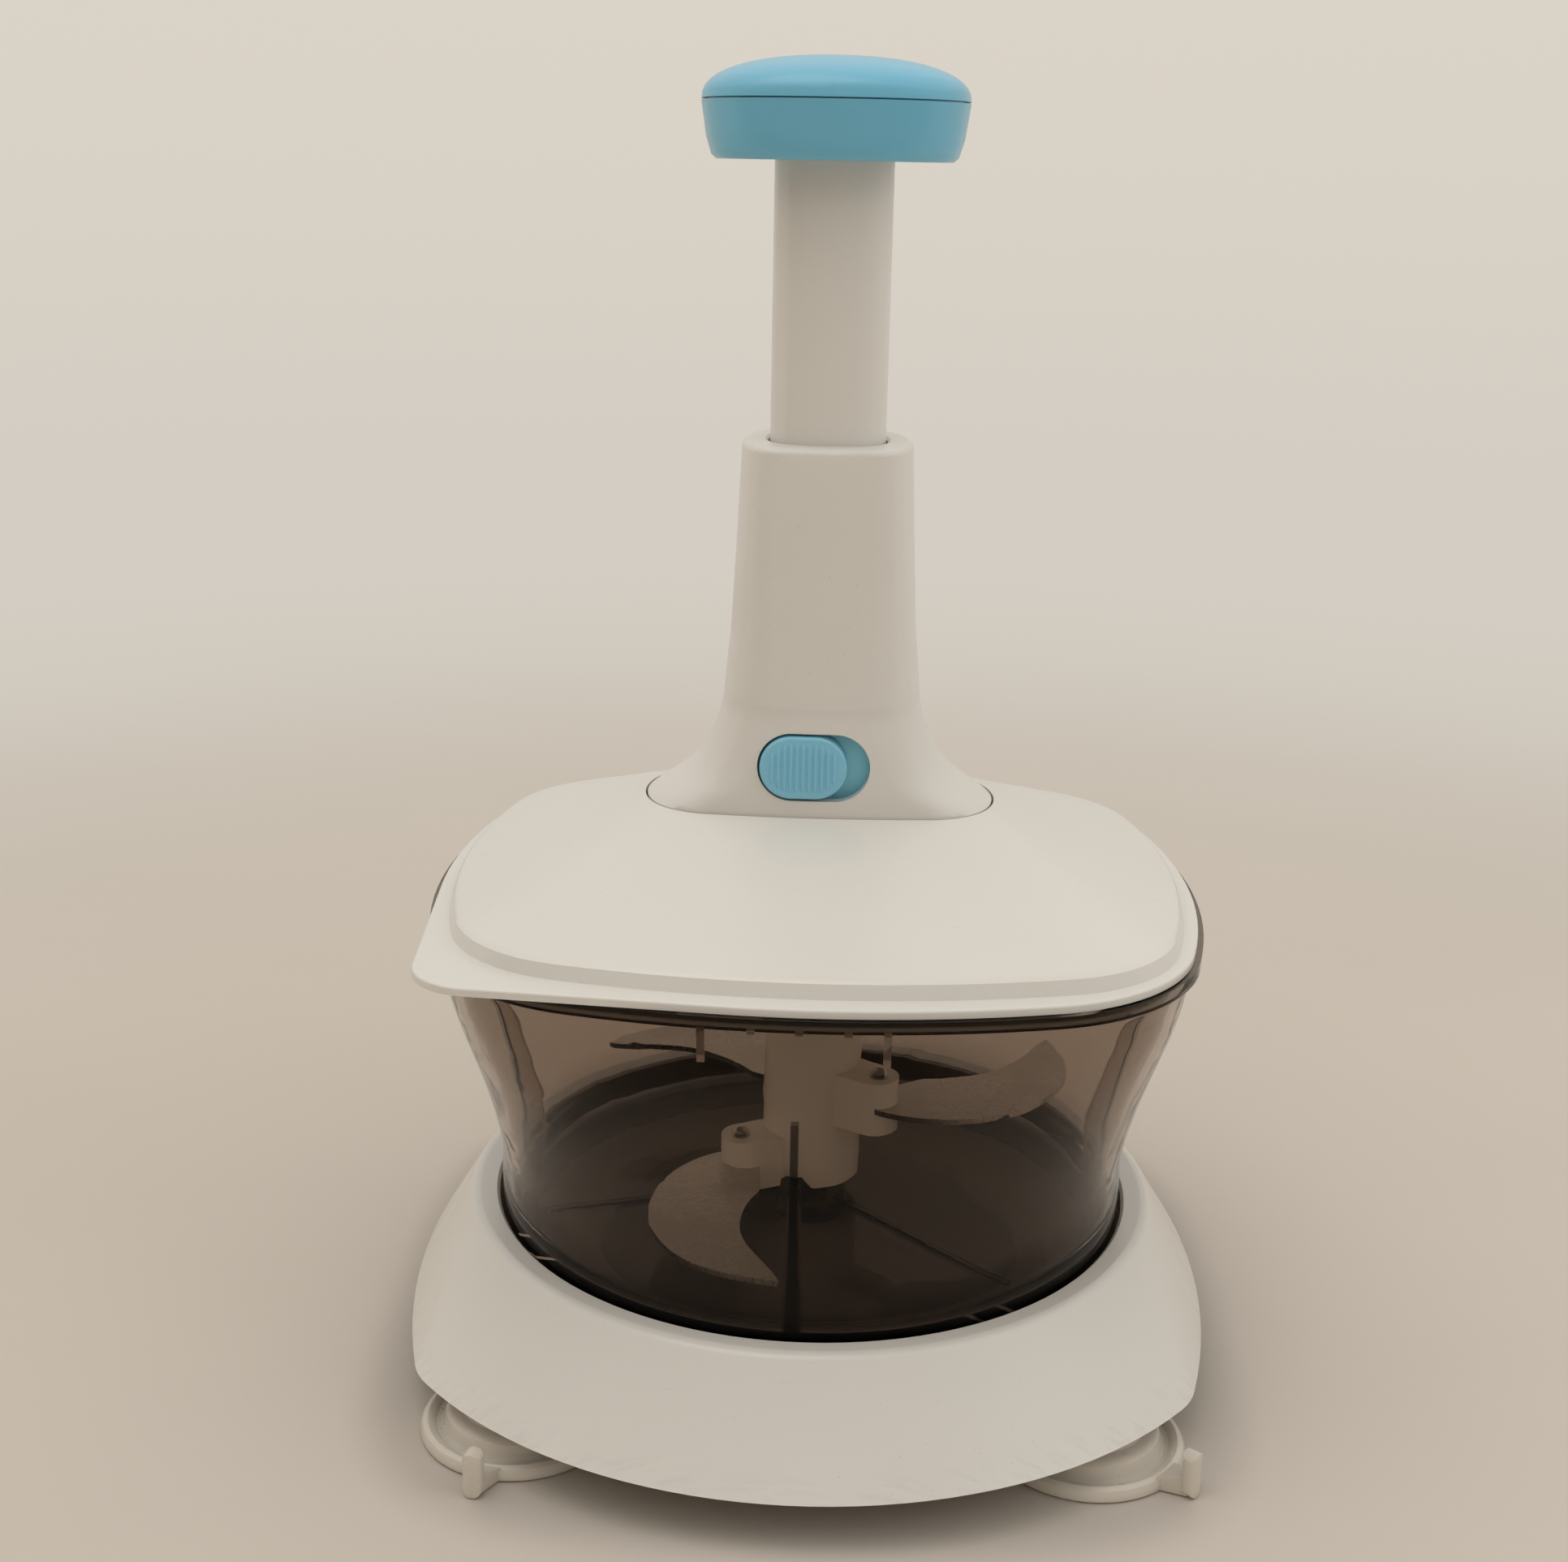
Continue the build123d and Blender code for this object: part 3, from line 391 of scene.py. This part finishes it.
# -------------------------------------------------------------- mesh building
def cast_copy(node, name):
    """A merged, smooth-shaded copy of a CAD node that is shown in its place."""
    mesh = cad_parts[node].data.copy()
    shape = bmesh.new()
    shape.from_mesh(mesh)
    bmesh.ops.remove_doubles(shape, verts=shape.verts, dist=MERGE)
    bmesh.ops.dissolve_degenerate(shape, edges=shape.edges, dist=MERGE)
    for face in shape.faces:
        face.smooth = True
    for edge in shape.edges:
        edge.smooth = edge.calc_face_angle(0.0) < CREASE
    shape.to_mesh(mesh)
    shape.free()
    piece = bpy.data.objects.new(name, mesh)
    bpy.context.scene.collection.objects.link(piece)
    weighted = piece.modifiers.new("even normals", "WEIGHTED_NORMAL")
    weighted.keep_sharp = True
    return settled(piece)


def settled(piece):
    """Turn a piece with modifiers into a plain mesh."""
    graph = bpy.context.evaluated_depsgraph_get()
    mesh = bpy.data.meshes.new_from_object(piece.evaluated_get(graph))
    piece.modifiers.clear()
    piece.data = mesh
    return piece


def painted(piece, material):
    """Give a piece one material."""
    piece.data.materials.clear()
    piece.data.materials.append(material)
    return piece


def stand_in(node, name, body, slot, surface=None):
    """Show a smooth copy of a CAD node with the finish of its slot, or with another."""
    piece = painted(cast_copy(node, name), finishes()[surface or slot])
    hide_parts(node)
    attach(piece, body)
    return piece


def finish_node(node, slot):
    """Give a CAD node that is shown as it is the finish of its slot."""
    painted(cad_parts[node], finishes()[slot])


# ---------------------------------------------------------------- properties
def colour_field(name, description, default):
    """Property for a colour."""
    return bpy.props.FloatVectorProperty(
        name=name, description=description, default=default, subtype="COLOR", size=3, min=0, max=1,
    )


def length_field(name, description, default, **limits):
    """Property for a length."""
    return bpy.props.FloatProperty(
        name=name, description=description, default=default, unit="LENGTH", **limits,
    )


class ChopperLooks(bpy.types.PropertyGroup):
    """Sizes and colours of the chopper's looks"""

    white: colour_field("White Plastic", "Colour of the white moulded pieces", (0.765, 0.735, 0.68))
    blue: colour_field("Blue Plastic", "Colour of the knob", (0.175, 0.52, 0.71))
    # The slide's colour is the knob's blue made lighter: painted light for the shade the slide sits in.
    slide: colour_field("Slide Blue With Painted Light", "Colour of the lock slide", (0.245, 0.59, 0.77))
    smoke: colour_field("Smoke Tint", "Tint of the clear bowl", (0.565, 0.495, 0.44))
    vinyl: colour_field("Vinyl", "Colour of the suction cups", (0.775, 0.71, 0.615))
    nylon: colour_field("Nylon", "Colour of the inner plastic pieces", (0.70, 0.67, 0.60))
    steel: colour_field("Steel", "Colour of the blades and screws", (0.60, 0.58, 0.55))
    rib_turn: bpy.props.FloatProperty(
        name="Bowl Rib Turn", description="How far the ribs of the bowl stand off the front",
        default=math.radians(-2.0), subtype="ANGLE",
    )
    rib_count: bpy.props.IntProperty(
        name="Grip Ribs", description="Number of ribs on the thumb pad", default=11, min=1,
    )
    rib_pitch: length_field("Rib Pitch", "Distance between the ribs", 1.21 * MM)
    rib_radius: length_field("Rib Radius", "Radius of a rib's round face", 0.42 * MM)
    rib_proud: length_field("Rib Height", "How far a rib stands out of the pad", 0.3 * MM)
    rib_middle: length_field("Rib Middle", "Place of the middle rib from left to right", -3.1 * MM)
    rib_reach: length_field("Rib Reach", "Half the length of the longest ribs", 5.2 * MM)
    rib_straight: length_field(
        "Rib Straight", "Half the width over which the ribs keep their length", 1.9 * MM,
    )


class StageSettings(bpy.types.PropertyGroup):
    """Camera, lamps and backdrop"""

    lens: bpy.props.FloatProperty(
        name="Lens", description="Focal length of the camera in millimetres, not in scene units",
        default=47.45, min=10,
    )
    camera_at: bpy.props.FloatVectorProperty(
        name="Camera Place", description="Where the camera stands",
        subtype="TRANSLATION", size=3, default=(0.0040, -0.4018, 0.2376),
    )
    camera_turn: bpy.props.FloatVectorProperty(
        name="Camera Turn", description="Pitch down, roll and heading of the camera", subtype="EULER",
        size=3, default=(math.radians(16.67), math.radians(1.11), math.radians(1.604)),
    )
    near_tone: colour_field(
        "Near Cloth", "Colour of the cloth round the chopper", (0.67, 0.605, 0.53),
    )
    mid_tone: colour_field(
        "Middle Cloth", "Colour of the backdrop behind the chopper", (0.66, 0.61, 0.545),
    )
    glow_tone: colour_field(
        "Lit Cloth", "Colour of the lit cloth just behind the chopper", (0.60, 0.55, 0.475),
    )
    far_tone: colour_field("Far Cloth", "Colour at the top of the backdrop", (0.71, 0.655, 0.58))
    sky_tone: colour_field("Sky", "Colour of the even light from all round", (1.0, 0.975, 0.94))
    room_mirrored: bpy.props.FloatProperty(
        name="Room In Reflections", description="How bright the room in front is in a reflection",
        default=0.12, min=0, max=1, subtype="FACTOR",
    )
    bowl_light: bpy.props.FloatProperty(
        name="Bowl Light", description="Gain of the light that reaches the dull pieces in the bowl",
        default=1.75, min=1,
    )
    lamp_power: bpy.props.FloatProperty(
        name="Lamp Power", description="Power of the large soft lamp",
        default=2.4, min=0, unit="POWER",
    )
    window_power: bpy.props.FloatProperty(
        name="Window Power", description="Power of the soft light from the right",
        default=0.5, min=0, unit="POWER",
    )
    world_light: bpy.props.FloatProperty(
        name="World Light", description="Strength of the even light from all round",
        default=0.85, min=0,
    )
    cove_radius: length_field("Cove Radius", "Distance of the upright backdrop", 1.6, min=0.8)
    cove_bend: length_field("Cove Bend", "Radius of the bend from floor to wall", 0.5, min=0.1)
    cove_height: length_field("Cove Height", "Height of the backdrop", 0.95, min=0.6)


# ----------------------------------------------------------------- operators
class CHOPPER_OT_base(bpy.types.Operator):
    """Build the flared base"""

    bl_idname = "chopper.base"
    bl_label = "Base"

    def execute(self, context):
        stand_in("base_shell", "base", "base", "white_plastic")
        return {"FINISHED"}


class CHOPPER_OT_cups(bpy.types.Operator):
    """Build the suction cups"""

    bl_idname = "chopper.cups"
    bl_label = "Suction Cups"

    def execute(self, context):
        for place in ("front_left", "front_right", "rear_left", "rear_right"):
            stand_in(f"suction_cup_{place}", f"cup_{place}", "base", "clear_vinyl")
        return {"FINISHED"}


class CHOPPER_OT_bowl(bpy.types.Operator):
    """Build the clear bowl and its pin"""

    bl_idname = "chopper.bowl"
    bl_label = "Bowl"

    def execute(self, context):
        stand_in("bowl", "clear_bowl", "bowl", "smoke_clear")
        stand_in("blade_pin", "pin", "bowl", "pin_steel")
        return {"FINISHED"}


class CHOPPER_OT_rotor(bpy.types.Operator):
    """Build the blade hub with its blades and rivets"""

    bl_idname = "chopper.rotor"
    bl_label = "Blades"

    def execute(self, context):
        stand_in("blade_hub", "hub", "rotor", "white_plastic")
        for level in ("low", "mid", "high"):
            stand_in(f"blade_{level}", f"{level}_blade", "rotor", "blade_steel")
        stand_in("blade_rivets", "rivets", "rotor", "pin_steel")
        return {"FINISHED"}


class CHOPPER_OT_lid(bpy.types.Operator):
    """Build the lid with its plate and seal"""

    bl_idname = "chopper.lid"
    bl_label = "Lid"

    def execute(self, context):
        stand_in("lid_cover", "cover", "lid", "white_plastic")
        stand_in("lid_plate", "plate", "lid", "white_plastic")
        stand_in("lid_seal", "seal", "lid", "silicone")
        return {"FINISHED"}


class CHOPPER_OT_tower(bpy.types.Operator):
    """Build the tower on the lid with its sleeve and bush"""

    bl_idname = "chopper.tower"
    bl_label = "Tower"

    def execute(self, context):
        stand_in("tower_housing", "tower", "lid", "white_plastic")
        stand_in("guide_sleeve", "sleeve", "lid", "nylon")
        stand_in("spindle_bush", "bush", "lid", "nylon")
        return {"FINISHED"}


class CHOPPER_OT_plunger(bpy.types.Operator):
    """Build the push tube and the knob"""

    bl_idname = "chopper.plunger"
    bl_label = "Plunger"

    def execute(self, context):
        stand_in("push_tube", "tube", "plunger", "white_plastic")
        stand_in("knob_base", "knob_lower", "plunger", "blue_plastic")
        stand_in("knob_top", "knob_cap", "plunger", "blue_plastic")
        stand_in("drive_nut", "nut", "plunger", "nylon")
        stand_in("nut_pins", "cross_pins", "plunger", "pin_steel")
        return {"FINISHED"}


class CHOPPER_OT_works(bpy.types.Operator):
    """Build the twisted spindle, the spring and the screws"""

    bl_idname = "chopper.works"
    bl_label = "Works"

    def execute(self, context):
        stand_in("spindle", "twisted_spindle", "spindle", "spindle_steel")
        stand_in("spring_seat", "seat", "spindle", "nylon")
        stand_in("drive_dog", "dog", "spindle", "nylon")
        coil = stand_in("return_spring", "coil_spring", "plunger", "spring_steel")
        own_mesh(coil)
        for node in ("lid_screws", "tower_screws", "knob_screw", "dog_screw"):
            finish_node(node, "screw_steel")
        return {"FINISHED"}


def grip_ribs(looks, material):
    """Upright rounded ribs on the thumb pad, shorter towards its round ends."""
    low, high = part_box("slide_switch")
    grip = Pattern(
        "grip_ribs", count=looks.rib_count, pitch=looks.rib_pitch, radius=looks.rib_radius,
        material=material, pad_round=looks.rib_reach, pad_straight=looks.rib_straight, face=low[1],
        proud=looks.rib_proud, middle=looks.rib_middle, height=(low[2] + high[2]) / 2,
    )
    size = grip.size
    points = grip.node("GeometryNodePoints", {}, {"Count": size["count"]})
    index = grip.node("GeometryNodeInputIndex", {}, {})
    across = (index - (size["count"] - 1) / 2) * size["pitch"]
    past = (abs(across) - size["pad_straight"]).above(0)
    length_here = 2 * (size["pad_round"] ** 2 - past ** 2) ** 0.5
    face = size["face"] + size["radius"] - size["proud"]
    spot = grip.vector(size["middle"] + across, face, size["height"])
    placed = grip.node("GeometryNodeSetPosition", {}, {"Geometry": points, "Position": spot})
    stem = grip.node("GeometryNodeCurvePrimitiveLine", {}, {"Start": (0, 0, -0.5), "End": (0, 0, 0.5)})
    stem = grip.node("GeometryNodeResampleCurve", {}, {"Curve": stem, "Count": 15})
    stretched = {"Points": placed, "Instance": stem, "Scale": grip.vector(1.0, 1.0, length_here)}
    stems = grip.node("GeometryNodeInstanceOnPoints", {}, stretched)
    stems = grip.node("GeometryNodeRealizeInstances", {}, {"Geometry": stems})
    along = grip.node("GeometryNodeSplineParameter", {}, {}, "Factor")
    rounded = (1.02 - abs(along * 2 - 1) ** 8) ** 0.5  # full for most of the rib, closing at its ends
    round_face = {"Resolution": 12, "Radius": size["radius"]}
    ring = grip.node("GeometryNodeCurvePrimitiveCircle", {}, round_face)
    sweep = {"Curve": stems, "Profile Curve": ring, "Scale": rounded, "Fill Caps": True}
    return grip.built(grip.node("GeometryNodeCurveToMesh", {}, sweep))


class CHOPPER_OT_switch(bpy.types.Operator):
    """Build the lock slide"""

    bl_idname = "chopper.switch"
    bl_label = "Lock Slide"

    def execute(self, context):
        # The slide and its tongue wear the lighter blue with painted light.
        stand_in("slide_switch", "thumb_slide", "switch", "blue_plastic", "slide")
        stand_in("lock_tongue", "tongue", "switch", "blue_plastic", "slide")
        ribs = grip_ribs(context.scene.chopper_looks, finishes()["slide"])
        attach(ribs, "switch")
        return {"FINISHED"}


def make_camera(stage):
    """Camera, turned by pitch, roll and heading."""
    data = bpy.data.cameras.new("camera")
    data.lens = stage.lens
    data.sensor_width = 36.0
    camera = bpy.data.objects.new("camera", data)
    bpy.context.scene.collection.objects.link(camera)
    pitch, roll, heading = stage.camera_turn
    level = math.cos(pitch)
    forward = Vector((-math.sin(heading) * level, math.cos(heading) * level, -math.sin(pitch)))
    look = forward.to_track_quat("-Z", "Y").to_matrix()
    camera.matrix_world = (look @ Euler((0, 0, roll)).to_matrix()).to_4x4()
    camera.location = stage.camera_at
    bpy.context.scene.camera = camera


def make_lamp(name, at, aim, size, power, colour):
    """Square area lamp that points at a place."""
    data = bpy.data.lights.new(name, "AREA")
    data.shape = "SQUARE"
    data.size = size
    data.energy = power
    data.color = colour
    lamp = bpy.data.objects.new(name, data)
    bpy.context.scene.collection.objects.link(lamp)
    lamp.location = at
    lamp.rotation_euler = (Vector(aim) - Vector(at)).to_track_quat("-Z", "Y").to_euler()
    return lamp


def make_cove(stage):
    """Seamless backdrop: a floor that bends up into a round wall."""
    radius, bend, height = stage.cove_radius, stage.cove_bend, stage.cove_height
    outline = [(ring, 0) for ring in FLOOR_RINGS] + [(radius - bend, 0)]
    for step in range(1, COVE_STEPS + 1):
        angle = math.radians(90) * step / COVE_STEPS
        outline.append((radius - bend + bend * math.sin(angle), bend - bend * math.cos(angle)))
    outline.append((radius, height))
    angles = [2 * math.pi * i / COVE_TURNS for i in range(COVE_TURNS)]
    shape = bmesh.new()
    rows = []
    for r, z in outline:
        rows.append([shape.verts.new((r * math.cos(a), r * math.sin(a), z)) for a in angles])
    shape.faces.new(rows[0])
    for low, high in zip(rows, rows[1:]):
        for i in range(COVE_TURNS):
            j = (i + 1) % COVE_TURNS
            shape.faces.new((low[i], high[i], high[j], low[j]))
    for face in shape.faces:
        face.smooth = True
    mesh = bpy.data.meshes.new("backdrop")
    shape.to_mesh(mesh)
    shape.free()
    cove = bpy.data.objects.new("backdrop", mesh)
    bpy.context.scene.collection.objects.link(cove)
    return cove


def light_paths(tree):
    """1 for a ray from the camera, through glass, mirrored, and through glass off a dull piece."""
    kinds = ("Is Camera Ray", "Is Transmission Ray", "Is Glossy Ray", "Diffuse Depth")
    camera, through, mirrored, dull = [
        tree.node("ShaderNodeLightPath", {}, {}, kind) for kind in kinds
    ]
    return camera, through, mirrored, through * (dull > 0.5)


def cove_cloth(stage):
    """Pale cloth that stays bright behind the chopper and lets the room in front be dim."""
    made = Finish("backdrop_cloth", Roughness=0.95, Specular_IOR_Level=0.1)
    x, y, z = made.split(made.place)
    reach = (x ** 2 + y ** 2 + z ** 2) ** 0.5
    camera, through, mirrored, inside = light_paths(made)
    room = made.smooth(0 - y, *ROOM_FRONT)
    # Painted shade of soft folds in the cloth, used in its colour and in its glow.
    painted_fold_shade = made.noise(scale=5.0, stretch=(1.0, 2.0, 1.0))

    # The lit cloth: with painted shade under the chopper, dim in front of it where it is seen in a
    # reflection.
    near = made.mix(painted_fold_shade, rgba(stage.near_tone, 1.03), rgba(stage.near_tone, 0.96))
    # Painted shade: darker cloth under the chopper.
    painted_shade_under = made.smooth((x ** 4 + y ** 4) ** 0.25, *PAINTED_SHADE_OUTLINE)
    near = made.mix(painted_shade_under, rgba(stage.near_tone, 0.78), near)
    cloth = made.mix(made.smooth(reach, start=0.15, end=1.3), near, rgba(stage.mid_tone))
    dim = mirrored.above((through - inside) * 0.8)
    front = made.mix(dim, rgba(stage.mid_tone), rgba(stage.mid_tone, stage.room_mirrored))
    made.feed("Base Color", made.mix(room * (1 - camera), cloth, front))
    made.feed("Normal", made.bump(made.noise(scale=700.0, detail=2.0), strength=0.1, distance=0.3 * MM))

    # Its glow, which keeps the backdrop even and lights the bowl from behind.
    glow_near = made.mix(painted_fold_shade, rgba(stage.glow_tone, 1.03), rgba(stage.glow_tone, 0.97))
    glow_mid = made.mix(made.smooth(reach, start=0.25, end=0.9), glow_near, rgba(stage.mid_tone))
    glow_all = made.mix(made.smooth(reach, start=1.2, end=1.75), glow_mid, rgba(stage.far_tone))
    strength = 1 + inside * (stage.bowl_light - 1)
    glow = made.node("ShaderNodeEmission", {}, {"Color": glow_all, "Strength": strength})
    seen = camera.above(through.above(mirrored) * (1 - room)).above(inside)
    lit = made.smooth(reach, start=0.2, end=0.65) * seen
    body = Value(made, made.shader.outputs[0])
    whole = made.node("ShaderNodeMixShader", {}, {0: lit, 1: body, 2: glow})

    # Clear from outside, so that it hides nothing from a camera behind it.
    clear = made.node("ShaderNodeBsdfTransparent", {}, {})
    behind = made.node("ShaderNodeNewGeometry", {}, {}, "Backfacing")
    made.surface(made.node("ShaderNodeMixShader", {}, {0: behind, 1: whole, 2: clear}))
    return made.material


def make_world(stage):
    """Even light from all round, less of the room in front in reflections."""
    world = bpy.data.worlds.new("studio")
    bpy.context.scene.world = world
    world.use_nodes = True
    sky = Tree(world.node_tree)
    y = sky.split(sky.node("ShaderNodeTexCoord", {}, {}, "Generated"))[1]
    camera, through, mirrored, inside = light_paths(sky)
    seen = camera.above(through)
    room = sky.smooth(0 - y, start=0.0, end=0.8)
    light = stage.world_light * (1 - mirrored * (1 - stage.room_mirrored) * room)
    strength = light * (1 - seen) + seen * (1 + inside * (stage.bowl_light - 1))
    tone = sky.mix(seen, rgba(stage.sky_tone), rgba(stage.far_tone))
    air = world.node_tree.nodes["Background"]
    sky.tree.links.new(tone.socket, air.inputs["Color"])
    sky.tree.links.new(strength.socket, air.inputs["Strength"])


class CHOPPER_OT_stage(bpy.types.Operator):
    """Build the backdrop, the lamps, the world and the camera"""

    bl_idname = "chopper.stage"
    bl_label = "Stage"

    def execute(self, context):
        stage = context.scene.chopper_stage
        make_camera(stage)
        painted(make_cove(stage), cove_cloth(stage))
        make_lamp("top", LAMP_AT, LAMP_AIM, LAMP_SIZE, stage.lamp_power, LAMP_COLOUR)
        window = make_lamp(
            "window", WINDOW_AT, WINDOW_AIM, WINDOW_SIZE, stage.window_power, WINDOW_COLOUR,
        )
        window.visible_glossy = False
        window.visible_transmission = False
        make_world(stage)
        context.scene.view_settings.view_transform = "Standard"
        return {"FINISHED"}


class CHOPPER_PT_panel(bpy.types.Panel):
    """Chopper tools"""

    bl_idname = "CHOPPER_PT_panel"
    bl_label = "Chopper"
    bl_space_type = "VIEW_3D"
    bl_region_type = "UI"
    bl_category = "Chopper"

    def draw(self, context):
        for group in (context.scene.chopper_looks, context.scene.chopper_stage):
            for key in group.__annotations__:
                self.layout.prop(group, key)
        for maker in OPERATORS:
            self.layout.operator(maker.bl_idname)


OPERATORS = (
    CHOPPER_OT_base,
    CHOPPER_OT_cups,
    CHOPPER_OT_bowl,
    CHOPPER_OT_rotor,
    CHOPPER_OT_lid,
    CHOPPER_OT_tower,
    CHOPPER_OT_plunger,
    CHOPPER_OT_works,
    CHOPPER_OT_switch,
    CHOPPER_OT_stage,
)
CLASSES = (ChopperLooks, StageSettings, *OPERATORS, CHOPPER_PT_panel)


def register():
    for item in CLASSES:
        bpy.utils.register_class(item)
    bpy.types.Scene.chopper_looks = bpy.props.PointerProperty(type=ChopperLooks)
    bpy.types.Scene.chopper_stage = bpy.props.PointerProperty(type=StageSettings)


def unregister():
    del bpy.types.Scene.chopper_stage
    del bpy.types.Scene.chopper_looks
    for item in reversed(CLASSES):
        bpy.utils.unregister_class(item)


def main():
    """Build every piece, then the stage."""
    register()
    for maker in OPERATORS:
        family, action = maker.bl_idname.split(".")
        getattr(getattr(bpy.ops, family), action)()


if __name__ == "__main__":
    main()
